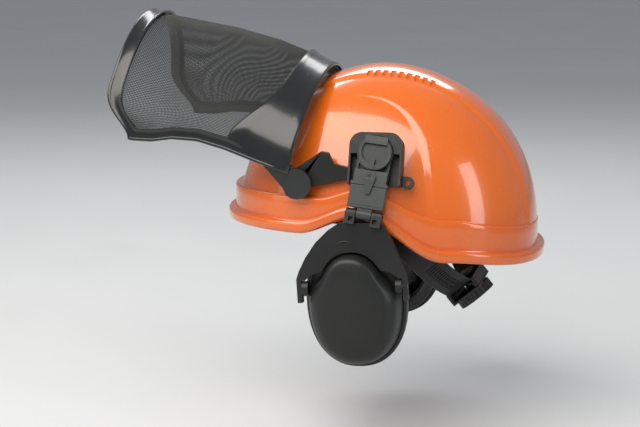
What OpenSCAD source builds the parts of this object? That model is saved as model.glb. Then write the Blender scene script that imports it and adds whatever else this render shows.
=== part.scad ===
// Forestry helmet: hard shell with a webbing harness, a hinged mesh visor and two ear muffs.
// +Z is up, -X is the front of the helmet, -Y is the wearer's left.

/* [Shell] */
// Half length of the dome towards the back
dome_back = 126; // [124:1:128]
// Half length of the dome towards the front
dome_front = 124; // [122:1:126]
// Half width of the dome
dome_side = 101; // [100:0.5:102]
// Height of the crown above the rear brim
dome_height = 146; // [144:1:150]
// Roundness of the dome seen from above, 2 is an ellipse
dome_power = 2.25; // [2.15:0.05:2.35]
// Squareness of the dome's profile at the brim
side_power = 2.46; // [2.4:0.02:2.6]
// Squareness of the dome's profile at the crown
crown_power = 1.84; // [1.75:0.01:1.9]
// Thickness of the shell wall
wall = 2.6; // [2:0.2:3]
// How far the rain gutter stands out past the dome
gutter = 7.5; // [6:0.5:8]
// How far the brim band stands out past the dome
band_step = 1.6; // [1:0.2:2]
// Height of the raised ridge over the crown
ridge_rise = 2; // [1:0.5:3]
// Half width of the raised ridge
ridge_half = 31; // [28:1:34]

/* [Visor] */
// Pivot height above the rear brim
pivot_z = 60; // [59:1:61]
// Pivot distance in front of the helmet's centre
pivot_x = 54; // [53:1:55]
// Angle that the visor is raised to
raised = 102; // [98:1:104]
// Length of the visor down its middle
visor_len = 172; // [165:1:180]
// Length of the visor down its sides
visor_side_len = 170; // [160:1:174]
// Half width of the visor at its hinge
visor_half_top = 104; // [103.5:0.5:105]
// Half width of the visor at its lower edge
visor_half_low = 96; // [92:1:98]
// Thickness of the visor frame
frame_t = 2.4; // [2:0.2:2.6]
// Thickness of the mesh
mesh_t = 0.6; // [0.5:0.1:0.8]
// Width of the frame along the sides and the lower edge
frame_w = 12.5; // [10:0.5:15]

/* [Ear muffs] */
// Half width of the cup
cup_half_w = 40.5; // [38:0.5:41]
// Half height of the cup
cup_half_h = 54; // [51:0.5:55]
// Depth of the cup shell
cup_depth = 32; // [30:1:34]
// Thickness of the seal cushion
seal_t = 14; // [12:1:15]
// Lean of the arm, outwards towards its lower end
arm_lean = 18; // [18:1:19]
// Swing of the arm, forwards towards its lower end
arm_swing = 7; // [6:1:8]
// Width of the arm
arm_w = 29.6; // [29:0.2:31]
// Distance from the knob to the fold hinge
fold_drop = 49; // [48.5:0.5:50]

/* [Harness] */
// Half length of the headband
band_half_l = 97; // [94:1:98]
// Half width of the headband
band_half_w = 75; // [74:0.5:75.5]
// Height of the headband
band_h = 26; // [22:1:28]
// Width of the webbing
web_w = 19; // [16:1:20]
// Width of the nape band
nape_w = 24; // [20:1:25]
// Radius of the size knob at the nape
size_knob_r = 16.5; // [15:0.5:17]

/* [Hidden] */

$fn = 48;
run_fit = 0.05;
part_gap = 0.3;

// Smooth step from 0 at a to 1 at b
function ease(a, b, x) = let (t = min(1, max(0, (x - a) / (b - a)))) t * t * (3 - 2 * t);
// Signed power, which turns a circle into a superellipse
function squared(v, n) = sign(v) * pow(abs(v), 2 / n);
// A superellipse outline of half sizes a and b
function oval(a, b, n, count) =
  [for (i = [0:count - 1]) let (u = 360 * i / count) [a * squared(cos(u), n), b * squared(sin(u), n)]];
// The value at x on straight lines between the points of table
function along(table, x) = lookup(x, table);

// A closed solid from rings with equal numbers of points, capped at both ends
module loft(rings) {
  n = len(rings[0]);
  m = len(rings);
  points = [for (r = rings) each r];
  sides = [for (j = [0:m - 2]) for (i = [0:n - 1]) let (k = (i + 1) % n, a = j * n, b = a + n) each
    [[a + i, b + k, a + k], [a + i, b + i, b + k]]];
  first = [for (i = [1:n - 2]) [0, i, i + 1]];
  last = [for (i = [1:n - 2]) [(m - 1) * n, (m - 1) * n + i + 1, (m - 1) * n + i]];
  polyhedron(points = points, faces = concat(sides, first, last), convexity = 10);
}

// A closed ring: the last ring of points joins the first
module loop_loft(rings) {
  n = len(rings[0]);
  m = len(rings);
  points = [for (r = rings) each r];
  sides = [for (j = [0:m - 1]) for (i = [0:n - 1])
    let (k = (i + 1) % n, a = j * n, b = ((j + 1) % m) * n) each
    [[a + i, b + k, a + k], [a + i, b + i, b + k]]];
  polyhedron(points = points, faces = sides, convexity = 10);
}

// A thin curved sheet between two grids of points, with its four edges closed
module sheet(front, back) {
  m = len(front);
  n = len(front[0]);
  under = m * n;
  points = concat([for (row = front) each row], [for (row = back) each row]);
  function quad(a, b, c, d) = [[a, b, c], [a, c, d]];
  faces = concat(
    [for (j = [0:m - 2]) for (i = [0:n - 2]) let (a = j * n + i) each quad(a, a + 1, a + n + 1, a + n)],
    [for (j = [0:m - 2]) for (i = [0:n - 2]) let (a = under + j * n + i)
      each quad(a, a + n, a + n + 1, a + 1)],
    [for (i = [0:n - 2]) each quad(i, under + i, under + i + 1, i + 1)],
    [for (i = [0:n - 2]) let (a = (m - 1) * n + i) each quad(a, a + 1, under + a + 1, under + a)],
    [for (j = [0:m - 2]) let (a = j * n) each quad(a, a + n, under + a + n, under + a)],
    [for (j = [0:m - 2]) let (a = j * n + n - 1) each quad(a, under + a, under + a + n, a + n)]);
  polyhedron(points = points, faces = faces, convexity = 10);
}

// The right-hand copy of a left-hand part
module right_side() mirror([0, 1, 0]) children();

/* ---- Shell ---- */
// Underside of the brim, which arches over the ears
function brim_z(x) =
  x > -6 ? 34.5 * (1 - ease(-4, 62, x)) - 8 * ease(60, 130, x) : 20 + 14.5 * ease(-52, -6, x);
// Top of the brim band
function shoulder_z(x) =
  x > -6 ? 33 + 23 * (1 - ease(-4, 62, x)) - 12 * ease(60, 130, x) : 48.5 + 7.5 * ease(-36, -6, x);
function dome_half(u) = cos(u) > 0 ? dome_back : dome_front;
function dome_plan(u, grow) =
  [(dome_half(u) + grow) * squared(cos(u), dome_power), (dome_side + grow) * squared(sin(u), dome_power)];
// Size of the dome at height z, as a part of its size at the base
function dome_taper(z) = pow(1 - pow(max(0, z) / dome_height, side_power), 1 / crown_power);
function ridge(x, y) = ridge_rise * (1 - ease(ridge_half - 5, ridge_half, abs(y))) * ease(-118, -90, x);
function dome_point(u, z, grow) =
  let (p = dome_plan(u, grow) * dome_taper(z * (dome_height) / (dome_height + grow)))
  [p[0], p[1], z + ridge(p[0], p[1]) * z / dome_height];
function base_x(u) = dome_plan(u, 0)[0];
function band_point(u, z, grow) = let (p = dome_plan(u, grow)) [p[0], p[1], z];

shell_sides = 60;
shell_rows = 12;
function shell_angle(i) = 360 * i / shell_sides;
// Heights of a row of the dome, even in angle between the band and the crown
function row_z(u, j, grow) =
  let (s = shoulder_z(base_x(u)), top = dome_height + grow,
       from = asin(pow(s / top, side_power / 2)),
       at = 88.5 - (88.5 - from) * j / shell_rows)
  top * pow(sin(at), 2 / side_power);
function dome_row(j, grow) =
  [for (i = [0:shell_sides - 1]) let (u = shell_angle(i)) dome_point(u, row_z(u, j, grow), grow)];
// A ring of the band: height above the brim or below the shoulder, and how far out
function band_row(from_brim, up, grow) =
  [for (i = [0:shell_sides - 1])
    let (u = shell_angle(i), x = base_x(u), z = from_brim ? brim_z(x) : shoulder_z(x))
    band_point(u, z + up, grow)];

module shell() {
  color("orangered") loft(concat(
    [for (j = [0:shell_rows]) dome_row(j, 0)],
    [band_row(false, -1.5, band_step - 0.6),
     band_row(false, -4, band_step),
     band_row(true, 8.5, band_step + 0.4),
     band_row(true, 8, band_step + 2),
     band_row(true, 9, gutter - 0.8),
     band_row(true, 7.5, gutter),
     band_row(true, 1.2, gutter - 0.6),
     band_row(true, 0, gutter - 2),
     band_row(true, 0, band_step - wall)],
    [for (j = [shell_rows:-1:0]) dome_row(j, -wall)]
  ));
}

/* ---- Harness ---- */
headband_z = 24;
clip_z = 26;
clip_top = 40;
strap_rise = 110;
strap_t = 1.2;
strap_step = 2;
strap_angles = [0, 62, 118];
// Reach of the shell's inner face in the direction u at height z
function inner_reach(u) =
  pow(pow(abs(cos(u)) / (dome_half(u) - wall), dome_power)
        + pow(abs(sin(u)) / (dome_side - wall), dome_power),
    -1 / dome_power) * dome_taper(clip_top);
function strap_reach(u) = inner_reach(u) - 9;

// Half an elliptical arch in the XZ plane, with its feet at height foot
module arch(reach_a, reach_b, foot, top, t) {
  steps = 24;
  outer = [for (i = [0:steps]) let (w = 180 * i / steps)
    [(w < 90 ? reach_a : reach_b) * cos(w), foot + (top - foot) * sin(w)]];
  inner = [for (i = [steps:-1:0]) let (w = 180 * i / steps)
    [((w < 90 ? reach_a : reach_b) - t) * cos(w), foot + (top - foot - t) * sin(w)]];
  polygon(concat(outer, inner));
}

module crown_strap(k) {
  u = strap_angles[k];
  color("dimgray") rotate([0, 0, u]) rotate([90, 0, 0])
    linear_extrude(web_w, center = true)
      arch(strap_reach(u), strap_reach(u + 180), clip_top + part_gap, strap_rise - k * strap_step, strap_t);
}
module crown_strap_front() crown_strap(0);
module crown_strap_middle() crown_strap(1);
module crown_strap_rear() crown_strap(2);

// Reach of the headband's outer face in the direction u
function headband_reach(u, grow) =
  pow(pow(abs(cos(u)) / (band_half_l + grow), 2.1) + pow(abs(sin(u)) / (band_half_w + grow), 2.1), -1 / 2.1);

module harness_clips() {
  clip_w = 22;
  color("black") for (k = [0:2]) for (half = [0, 180]) {
    u = strap_angles[k] + half;
    from = headband_reach(u, 2) + 1.8;
    to = inner_reach(u) - 3.2;
    rotate([0, 0, u]) translate([from, -clip_w / 2, clip_z]) cube([to - from, clip_w, clip_top - clip_z]);
  }
}

headband_t = 1.8;
module headband_ring(grow, t, h) {
  linear_extrude(h) difference() {
    polygon(oval(band_half_l + grow, band_half_w + grow, 2.1, 72));
    polygon(oval(band_half_l + grow - t, band_half_w + grow - t, 2.1, 72));
  }
}
module headband() {
  color("black") translate([0, 0, headband_z]) headband_ring(2, headband_t, band_h);
}
sweat_t = 3;
module sweatband() {
  color("saddlebrown") translate([0, 0, headband_z - 2]) intersection() {
    headband_ring(0, sweat_t, band_h + 4);
    translate([-150, -60, -1]) cube([100, 120, band_h + 6]);
  }
}

// The nape band runs in a plane that drops towards the back of the head
nape_angle = 50;
nape_start = [28, 0, 14];
nape_reach = 69;
nape_side = 75.2;
nape_t = 1.8;
module in_nape_plane() translate(nape_start) rotate([0, nape_angle, 0]) children();
function nape_arc(a, b, grow, from, to, steps) =
  [for (i = [0:steps]) let (w = from + (to - from) * i / steps) [(a + grow) * cos(w), (b + grow) * sin(w)]];
module nape_strip(from, to, grow, t) {
  polygon(concat(nape_arc(nape_reach, nape_side, grow, from, to, 18),
                 nape_arc(nape_reach, nape_side, grow - t, to, from, 18)));
}
band_end = 25;
module nape_band_left() {
  color("black") in_nape_plane() translate([0, 0, -nape_w / 2])
    linear_extrude(nape_w) nape_strip(-102, -band_end, 0, nape_t);
}
module nape_band_right() right_side() nape_band_left();
module nape_pad() {
  color("gray") in_nape_plane() translate([0, 0, -nape_w / 2])
    linear_extrude(nape_w) nape_strip(-14, 14, case_x - nape_reach - 0.6, 4);
}

// Ratchet at the nape: a case, two racks that pass each other, and a pinion on the size knob
case_x = nape_reach - 8;
case_w = 62;
case_h = 28;
case_d = 8.4;
case_wall = 1.5;
rack_w = 6;
rack_t = 2;
rack_l = 36;
rack_x = case_x + 3.2;
pinion_r = 4.6;
spindle_r = 2.5;
module ratchet_case() {
  color("black") in_nape_plane() difference() {
    translate([case_x, -case_w / 2, -case_h / 2]) cube([case_d, case_w, case_h]);
    translate([case_x + case_wall, -case_w / 2 - 1, -case_h / 2 + 3]) cube([case_d, case_w + 2, case_h - 6]);
  }
}
module ratchet_cover() {
  color("black") in_nape_plane() difference() {
    translate([case_x + case_d + 0.1, -case_w / 2, -case_h / 2]) cube([2, case_w, case_h]);
    translate([case_x, 0, 0]) rotate([0, 90, 0]) cylinder(r = spindle_r + run_fit, h = 20);
  }
}
// Rack teeth face the pinion across the case
module rack(side) {
  pitch = 3;
  color("dimgray") in_nape_plane() translate([rack_x, 0, 0]) scale([1, side, side]) {
    translate([0, -10, -pinion_r - 1.6 - 3]) cube([rack_t, rack_l, 3]);
    for (i = [0:10]) translate([0, -9 + i * pitch, -pinion_r - 1.7]) cube([rack_t, 1.3, 1.2]);
  }
}
module ratchet_rack_left() rack(-1);
module ratchet_rack_right() rack(1);
module size_knob() {
  knob_x = case_x + case_d + 2.4;
  knob_h = 8;
  ribs = 24;
  color("black") in_nape_plane() translate([knob_x, 0, 0]) rotate([0, 90, 0]) {
    difference() {
      cylinder(r = size_knob_r, h = knob_h);
      for (i = [0:ribs - 1]) rotate([0, 0, 360 * i / ribs])
        translate([size_knob_r + 0.3, 0, -1]) cylinder(r = 1, h = knob_h + 2, $fn = 16);
      translate([0, 0, knob_h - 1.5]) cylinder(r = size_knob_r - 5, h = 2);
    }
    translate([0, 0, -5.6]) cylinder(r = spindle_r, h = 6.1);
  }
}
module ratchet_pinion() {
  teeth = 9;
  tooth_h = 1.2;
  color("gray") in_nape_plane() translate([rack_x - 0.2, 0, 0]) rotate([0, 90, 0])
    linear_extrude(rack_t + 0.2) polygon([for (i = [0:4 * teeth - 1])
      let (u = 90 * i / teeth, r = i % 4 < 2 ? pinion_r : pinion_r - tooth_h) [r * cos(u), r * sin(u)]]);
}

/* ---- Visor ---- */
// Visor shape as if lowered, measured from its pivot: x back, z up, b from -90 (left) to 90 (right)
rear_edge = [[8, -6], [37, -9], [64, -12.5], [87, -13.5], [108, -10], [124, -4], [140, -1], [165, 0]];
depth_table = [[8, 87], [30, 93], [60, 98], [100, 100], [180, 97]];
visor_top = 8;
function visor_depth(d) = along(depth_table, d);
function visor_half(d) = visor_half_top + (visor_half_low - visor_half_top) * d / visor_len;
// Lower edge at angle b, with rounded corners
function visor_low(b) =
  visor_len - (visor_len - visor_side_len) * pow(abs(sin(b)), 2.5) - 26 * pow(ease(62, 90, abs(b)), 2.4);
// Upper edge of the mesh at angle b, which drops to clear the hinge ears
function window_top(b) = 31 + 34 * pow(abs(sin(b)), 6);
// A point of the visor, inset by t from its outer face
function visor_point(b, d, t) =
  [(along(rear_edge, d)) * pow(abs(sin(b)), 8) - (visor_depth(d) - t) * cos(b),
   (visor_half(d) - t) * sin(b), -d];
module visor_place() translate([-pivot_x, 0, pivot_z]) rotate([0, raised, 0]) children();

side_margin = 6.5;
top_steps = 28;
side_steps = 14;
// Angles from -reach to reach, closer together towards both ends
function spread(i, n, reach) =
  let (s = 2 * i / n - 1) reach * sign(s) * (1 - pow(1 - abs(s), 1.5));
// An edge that goes across the top, down the right, back along the low edge and up the left
function edge_loop(reach, top, low) = concat(
  [for (i = [0:top_steps - 1]) [spread(i, top_steps, reach), top[i]]],
  [for (i = [0:side_steps - 1]) [reach, top[top_steps] + (low[0] - top[top_steps]) * i / side_steps]],
  [for (i = [0:top_steps - 1]) [-spread(i, top_steps, reach), low[i]]],
  [for (i = [0:side_steps - 1]) [-reach, low[0] - (low[0] - top[0]) * i / side_steps]]);
function frame_outer() = edge_loop(90,
  [for (i = [0:top_steps]) visor_top],
  [for (i = [0:top_steps]) visor_low(spread(i, top_steps, 90))]);
// The window's edge, moved out by grow
function window_edge(grow) = let (reach = 90 - side_margin + grow / 1.8) edge_loop(reach,
  [for (i = [0:top_steps]) window_top(spread(i, top_steps, reach)) - grow],
  [for (i = [0:top_steps]) visor_low(spread(i, top_steps, reach)) - frame_w + grow]);
function blend2(p, q, k) = p * (1 - k) + q * k;

// A ring-shaped strip of the visor between two edges, from depth t0 to depth t1 under its face
module visor_strip(outer, inner, t0, t1, across) {
  loop_loft([for (i = [0:len(outer) - 1]) concat(
    [for (k = [0:across]) let (p = blend2(outer[i], inner[i], k / across)) visor_point(p[0], p[1], t0)],
    [for (k = [across:-1:0]) let (p = blend2(outer[i], inner[i], k / across)) visor_point(p[0], p[1], t1)])]);
}
module visor_frame() {
  color("black") visor_place() visor_strip(frame_outer(), window_edge(0), 0, frame_t, 3);
}
// The bead that holds the mesh against the frame's inner face
module visor_bead() {
  color("dimgray") visor_place()
    visor_strip(window_edge(4.5), window_edge(2), frame_t + mesh_t + 1.2, frame_t + mesh_t + 2.4, 1);
}
module visor_mesh() {
  cols = 28;
  rows = 10;
  reach = 90 - side_margin + 2;
  overlap = 4;
  near = frame_t + 0.6;
  function row(j, t) = [for (i = [0:cols]) let (b = spread(i, cols, reach),
    top = window_top(b) - overlap, low = visor_low(b) - frame_w + overlap)
    visor_point(b, top + (low - top) * j / rows, t)];
  color("darkslategray") visor_place()
    sheet([for (j = [0:rows]) row(j, near)], [for (j = [0:rows]) row(j, near + mesh_t)]);
}
module brow_seal() {
  edge = 62;
  steps = 26;
  rings = [for (i = [0:steps]) let (b = -edge + 2 * edge * i / steps)
    [visor_point(b, 10, frame_t + 0.5), visor_point(b, 22, frame_t + 0.5),
     visor_point(b, 20, frame_t + 2.8), visor_point(b, 11, frame_t + 3.8)]];
  color("dimgray") visor_place() loft(rings);
}

// Hinge ears carry the frame on the pins, inside the frame and outside the hinge arms
ear_out = 100.6;
ear_t = 2.4;
ear_r = 12;
pin_r = 3;
module visor_ear_left() {
  color("black") visor_place() rotate([90, 0, 0]) translate([0, 0, ear_out - ear_t]) difference() {
    union() {
      cylinder(r = ear_r, h = ear_t);
      linear_extrude(ear_t) polygon([
        [-ear_r + 1, -2], [-15, -12], [-15.5, -50], [-12.5, -50], [-11, -34], [ear_r - 2, -5]]);
      intersection() {
        cylinder(r = ear_r, h = visor_half_top - ear_out + ear_t - 0.4);
        translate([-20, 0.6 - visor_top, 0]) cube([40, 30, 10]);
      }
    }
    translate([0, 0, -1]) cylinder(r = pin_r + run_fit, h = ear_t + 1.6);
  }
}
module visor_ear_right() right_side() visor_ear_left();

arm_out = 97.9;
arm_t = 4.5;
module visor_arm_left() {
  color("black") rotate([90, 0, 0]) translate([0, 0, arm_out - arm_t]) difference() {
    linear_extrude(arm_t) polygon([
      [-12.2, 64.5], [-12.2, 73.5], [-25, 76.5], [-29, 85], [-35, 86], [-57, 71], [-62, 64],
      [-61, 56], [-54, 53.5], [-44, 57]]);
    translate([-pivot_x, pivot_z, -1]) cylinder(r = pin_r + run_fit, h = arm_t + 2);
  }
}
module visor_arm_right() right_side() visor_arm_left();
module visor_pin_left() {
  color("silver") translate([-pivot_x, 0, pivot_z]) rotate([90, 0, 0]) {
    translate([0, 0, arm_out - arm_t - 1]) cylinder(r = pin_r, h = ear_out - arm_out + arm_t + 0.8);
    translate([0, 0, arm_out - arm_t - 1.8]) cylinder(r = 4.5, h = 1.6);
  }
}
module visor_pin_right() right_side() visor_pin_left();

/* ---- Ear muff arm, in its own frame: origin on the knob axis, -Y outwards, +Z up the arm ---- */
knob_x = 9;
knob_y = -88.6;
knob_z = 82;
module arm_place() translate([knob_x, knob_y, knob_z]) rotate([-arm_lean, 0, 0]) rotate([0, arm_swing, 0])
  children();
// The bracket leans with the shell and doesn't swing forwards
module bracket_place() translate([knob_x, knob_y, knob_z]) rotate([-arm_lean, 0, 0]) children();
// A flat outline in the XZ plane, thick from depth y0 to y1 outwards
module slab(y0, y1) translate([0, -y0, 0]) rotate([90, 0, 0]) linear_extrude(y1 - y0) children();
// A round rod along Y
module rod(r, y0, y1) translate([0, -y0, 0]) rotate([90, 0, 0]) cylinder(r = r, h = y1 - y0);

bracket_d = 13;
bracket_floor = 4;
hub_r = 14;
knob_pin_r = 4;
eye_r = 2.2;
module bracket_outline() {
  union() {
    translate([-21, -24]) square([42, 31]);
    translate([-11, 7]) square([22, 10]);
    translate([-11, 7]) circle(r = 10);
    translate([11, 7]) circle(r = 10);
  }
}
module bracket_left() {
  color("black") bracket_place() difference() {
    union() {
      slab(0, bracket_d) bracket_outline();
      translate([25.5, 0, -21]) rod(5, 1, 4);
      translate([18, -4, -24]) cube([7.5, 3, 8]);
    }
    rod(hub_r + 0.6, bracket_floor, bracket_d + 1);
    translate([-19.4, -bracket_d - 1, -25]) cube([38.8, bracket_d + 1 - bracket_floor, 25]);
    translate([25.5, 0, -21]) rod(eye_r, 0, 5);
    rod(knob_pin_r, 1, bracket_floor + 1);
  }
}
module bracket_right() right_side() bracket_left();
module knob_pin_left() {
  color("silver") bracket_place() rod(knob_pin_r, 1, 12.2);
}
module knob_pin_right() right_side() knob_pin_left();

sleeve_in = 8.6;
sleeve_out = 15.4;
sleeve_low = -26;
tongue_in = 10.5;
tongue_out = 13.5;
tongue_half = 11;
tongue_l = 13.6;
neck_half = 13.2;
module arm_upper_left() {
  color("dimgray") arm_place() difference() {
    union() {
      rod(hub_r, bracket_floor + 0.4, 12.4);
      translate([-neck_half, -12.4, sleeve_low + 1]) cube([2 * neck_half, 8, -6 - sleeve_low]);
      translate([-neck_half, -sleeve_out, sleeve_low + 1]) cube([2 * neck_half, sleeve_out - sleeve_in, 11]);
      translate([-arm_w / 2, -sleeve_out, sleeve_low]) cube([arm_w, sleeve_out - sleeve_in, 2.4]);
    }
    rod(knob_pin_r + run_fit, 0, 13);
    translate([-tongue_half - 0.3, -tongue_out - 0.2, sleeve_low - 1])
      cube([2 * tongue_half + 0.6, tongue_out - tongue_in + 0.4, -8 - sleeve_low]);
    translate([-arm_w, -sleeve_in, sleeve_low - 1]) cube([2 * arm_w, 5, 8]);
  }
}
module arm_upper_right() right_side() arm_upper_left();
module knob_cap_left() {
  cap_in = 12.5;
  cap_out = 16.6;
  color("dimgray") arm_place() {
    difference() {
      rod(13.6, cap_in, cap_out);
      translate([0, 0, 1]) rod(10.5, cap_out - 2.2, cap_out + 1);
    }
    translate([-9, -cap_out - 1, 7]) cube([18, 2, 6]);
    translate([-1.5, -cap_out - 0.6, -13]) cube([3, 2.8, 8]);
  }
}
module knob_cap_right() right_side() knob_cap_left();
// The drop-shaped latch that holds the height setting
module height_latch_left() {
  color("dimgray") arm_place() difference() {
    union() {
      translate([0, 0, -19.4]) rod(4.6, sleeve_out, sleeve_out + 1.8);
      slab(sleeve_out + 0.4, sleeve_out + 1.8)
        polygon([[-4.4, -20.4], [4.4, -20.4], [1.6, -33], [-1.6, -33]]);
    }
    translate([0, 0, -19]) rod(1.6, sleeve_out + 0.8, sleeve_out + 2);
  }
}
module height_latch_right() right_side() height_latch_left();

fold_y = 12;
knuckle_r = 4;
fold_pin_r = 1.6;
module cross_rod(r, x0, x1)
  translate([x0, -fold_y, -fold_drop]) rotate([0, 90, 0]) cylinder(r = r, h = x1 - x0);
module arm_lower_left() {
  body_top = sleeve_low - 0.4;
  color("dimgray") arm_place() difference() {
    union() {
      translate([-arm_w / 2 + 0.5, -sleeve_out, -fold_drop + 5])
        cube([arm_w - 1, sleeve_out - 9, body_top + fold_drop - 5]);
      translate([-tongue_half, -tongue_out, body_top - 2])
        cube([2 * tongue_half, tongue_out - tongue_in, tongue_l]);
      cross_rod(knuckle_r, -6, 6);
      translate([-6, -fold_y - 2.5, -fold_drop]) cube([12, 5, 6]);
    }
    cross_rod(fold_pin_r + run_fit, -7, 7);
  }
}
module arm_lower_right() right_side() arm_lower_left();
module fold_pin_left() {
  color("silver") arm_place() cross_rod(fold_pin_r, -14, 14);
}
module fold_pin_right() right_side() fold_pin_left();

/* ---- Ear cup, in its own frame: origin at the middle of its rim, -Y outwards ---- */
cup_x = -5.5;
cup_y = -95;
cup_z = -32;
cup_turn = -4;
cup_wall = 2.5;
cup_power = 2.25;
module cup_place() translate([cup_x, cup_y, cup_z]) rotate([0, cup_turn, 0]) children();
// The cup's outline, moved in by low on its lower half and by high at its top
function cup_edge(low, high) =
  [for (i = [0:39]) let (u = 9 * i, side = squared(cos(u), cup_power), rise = squared(sin(u), cup_power),
    shrink = low + (high - low) * ease(20, 36, cup_half_h * rise))
    [(cup_half_w - shrink) * side, (cup_half_h - shrink) * rise]];
function cup_ring(low, high, y) = [for (p = cup_edge(low, high)) [p[0], -y, p[1]]];
module cup_oval(shrink) polygon(cup_edge(shrink, shrink));

module cup_shell_left() {
  d = cup_depth;
  w = cup_wall;
  color("black") cup_place() loft([
    cup_ring(34, 34, d + 0.5), cup_ring(20, 22, d), cup_ring(13, 17, d - 1.5), cup_ring(8.5, 15.2, d - 5),
    cup_ring(5.5, 14.4, d - 10), cup_ring(4, 13.8, 14), cup_ring(3.6, 12.8, 11.8), cup_ring(3.4, 4, 11),
    cup_ring(3, 3, 9), cup_ring(0, 0, 6), cup_ring(0, 0, 0),
    cup_ring(w + 3, w + 3, 0), cup_ring(w + 3, w + 3, 7), cup_ring(w + 3.3, w + 4, 8.4),
    cup_ring(w + 3.6, w + 13, 9.2), cup_ring(w + 4, w + 13.8, 14), cup_ring(w + 5.5, w + 15, d - 11),
    cup_ring(w + 9, w + 17, d - 6.5), cup_ring(w + 15, w + 20, d - 4), cup_ring(34, 34, d - w)]);
}
module cup_shell_right() right_side() cup_shell_left();

pivot_up = 13;
pivot_out = 18;
cup_pin_r = 2.5;
trunnion_r = 6;
trunnion_in = cup_half_w - 5.5;
trunnion_out = cup_half_w - 0.6;
cup_pin_in = cup_half_w - 3.4;
module cup_trunnions_left() {
  color("black") cup_place() for (s = [-1, 1]) scale([s, 1, 1]) translate([0, -pivot_out, pivot_up])
    rotate([0, 90, 0]) difference() {
      translate([0, 0, trunnion_in]) cylinder(r = trunnion_r, h = trunnion_out - trunnion_in);
      translate([0, 0, cup_pin_in - 0.5]) cylinder(r = cup_pin_r + run_fit, h = 6);
    }
}
module cup_trunnions_right() right_side() cup_trunnions_left();
module cup_pins_left() {
  color("silver") cup_place() for (s = [-1, 1]) scale([s, 1, 1]) translate([0, -pivot_out, pivot_up])
    rotate([0, 90, 0]) translate([0, 0, cup_pin_in]) cylinder(r = cup_pin_r, h = fork_out - cup_pin_in - 0.3);
}
module cup_pins_right() right_side() cup_pins_left();

// The yoke: knuckles on the fold hinge, and a fork around the upper half of the cup
yoke_t = 6;
block_in = 6.4;
block_out = 14.6;
block_w = block_out - block_in;
yoke_in = pivot_out - yoke_t / 2;
fork_in = cup_half_w - 0.2;
fork_out = cup_half_w + 3.8;
module yoke_left() {
  color("black") {
    arm_place() difference() {
      union() {
        cross_rod(knuckle_r, -block_out, -block_in);
        cross_rod(knuckle_r, block_in, block_out);
        for (s = [-1, 1])
          translate([s * (block_in + block_out) / 2 - block_w / 2, -fold_y - 4, -fold_drop - 9])
          cube([block_w, 8, 9]);
      }
      for (s = [-1, 1]) translate([s * 9.6 - 1.7, -fold_y - 5, -fold_drop - 6.5]) cube([3.4, 4, 3.4]);
      cross_rod(fold_pin_r + run_fit, -17, 17);
    }
    cup_place() difference() {
      slab(yoke_in, yoke_in + yoke_t) difference() {
        polygon([[-7, 65], [-17, 59], [-27, 50], [-36, 38], [-42, 27], [-fork_out, 21], [-fork_out, 2],
                 [fork_out, 2], [fork_out, 21], [43, 28], [39, 38], [34, 50], [27, 64]]);
        polygon(cup_edge(0.2, 12.4));
        translate([-fork_in, 0]) square([2 * fork_in, pivot_up + trunnion_r + 0.8]);
      }
      translate([-60, -pivot_out, pivot_up]) rotate([0, 90, 0]) cylinder(r = cup_pin_r, h = 120);
    }
  }
}
module yoke_right() right_side() yoke_left();

plate_t = 2;
module cup_plate_left() {
  color("dimgray") cup_place() slab(-plate_t - 0.2, -0.2) difference() {
    cup_oval(0);
    cup_oval(14);
  }
}
module cup_plate_right() right_side() cup_plate_left();
module seal_cushion_left() {
  color("black") cup_place() slab(-plate_t - 0.4 - seal_t, -plate_t - 0.4) difference() {
    cup_oval(1);
    cup_oval(15);
  }
}
module seal_cushion_right() right_side() seal_cushion_left();
module foam_liner_left() {
  color("gray") cup_place() slab(8, 20) cup_oval(18.5);
}
module foam_liner_right() right_side() foam_liner_left();

shell();
crown_strap_front();
crown_strap_middle();
crown_strap_rear();
harness_clips();
headband();
sweatband();
nape_band_left();
nape_band_right();
nape_pad();
ratchet_case();
ratchet_cover();
ratchet_rack_left();
ratchet_rack_right();
size_knob();
ratchet_pinion();
visor_frame();
visor_mesh();
visor_bead();
brow_seal();
visor_ear_left();
visor_ear_right();
visor_arm_left();
visor_arm_right();
visor_pin_left();
visor_pin_right();
bracket_left();
bracket_right();
knob_pin_left();
knob_pin_right();
arm_upper_left();
arm_upper_right();
knob_cap_left();
knob_cap_right();
height_latch_left();
height_latch_right();
arm_lower_left();
arm_lower_right();
fold_pin_left();
fold_pin_right();
yoke_left();
yoke_right();
cup_pins_left();
cup_pins_right();
cup_shell_left();
cup_shell_right();
cup_trunnions_left();
cup_trunnions_right();
cup_plate_left();
cup_plate_right();
foam_liner_left();
foam_liner_right();
seal_cushion_left();
seal_cushion_right();
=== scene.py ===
import bisect
import math

import bmesh
import bpy
import numpy as np
from mathutils import Matrix, Vector, noise


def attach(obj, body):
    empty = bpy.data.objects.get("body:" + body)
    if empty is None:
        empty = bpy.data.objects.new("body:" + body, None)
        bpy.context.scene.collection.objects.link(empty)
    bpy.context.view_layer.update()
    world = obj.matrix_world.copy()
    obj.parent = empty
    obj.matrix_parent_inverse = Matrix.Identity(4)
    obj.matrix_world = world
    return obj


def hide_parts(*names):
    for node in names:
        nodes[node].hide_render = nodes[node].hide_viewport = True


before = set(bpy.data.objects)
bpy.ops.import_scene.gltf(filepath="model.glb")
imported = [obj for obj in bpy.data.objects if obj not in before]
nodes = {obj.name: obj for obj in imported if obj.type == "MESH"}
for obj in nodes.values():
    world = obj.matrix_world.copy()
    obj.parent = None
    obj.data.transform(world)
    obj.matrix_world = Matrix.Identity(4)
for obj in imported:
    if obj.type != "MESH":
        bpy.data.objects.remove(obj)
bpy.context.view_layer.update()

MM = 0.001
SIDES = (("left", 1), ("right", -1))

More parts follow.
